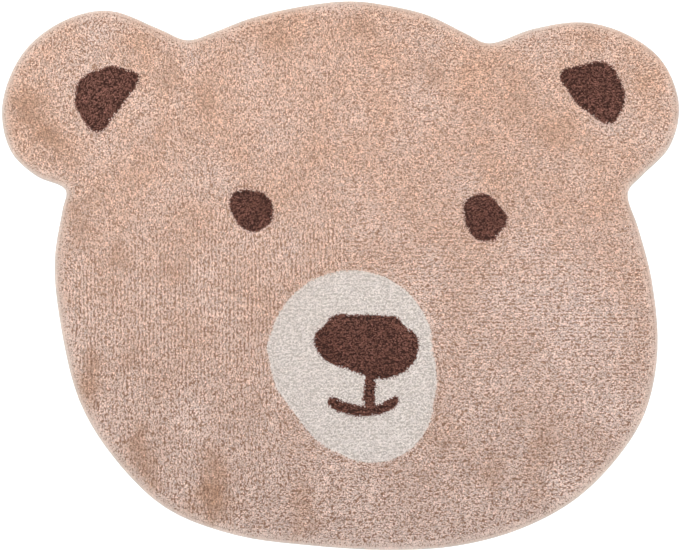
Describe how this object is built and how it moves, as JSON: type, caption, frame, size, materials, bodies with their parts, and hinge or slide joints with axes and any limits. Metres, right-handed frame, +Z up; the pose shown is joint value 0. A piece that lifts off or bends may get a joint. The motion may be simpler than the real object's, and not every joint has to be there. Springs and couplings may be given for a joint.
{
  "type": "bear shaped kids rug",
  "caption": "Flat cut-pile rug in the outline of a bear's head, with an off-white muzzle and dark eyes, nose, smile and inner ears tufted flush into a beige field.",
  "frame": {"origin": "middle of the rug's outline, on the floor", "axes": "+X across the ears, +Y towards the crown, +Z up from the floor through the pile"},
  "size_m": [1.0974, 0.889, 0.014],
  "materials": {
    "backing_cloth": "natural cotton cloth, matt",
    "beige_yarn": "short cut cotton pile, matt",
    "off_white_yarn": "short cut cotton pile, matt",
    "brown_yarn": "short cut cotton pile, matt"
  },
  "bodies": {
    "root": {"backing": "backing_cloth", "field_pile": "beige_yarn", "muzzle_pile": "off_white_yarn", "nose_mouth_pile": "brown_yarn", "eye_left_pile": "brown_yarn", "eye_right_pile": "brown_yarn", "ear_left_pile": "brown_yarn", "ear_right_pile": "brown_yarn"}
  },
  "joints": []
}
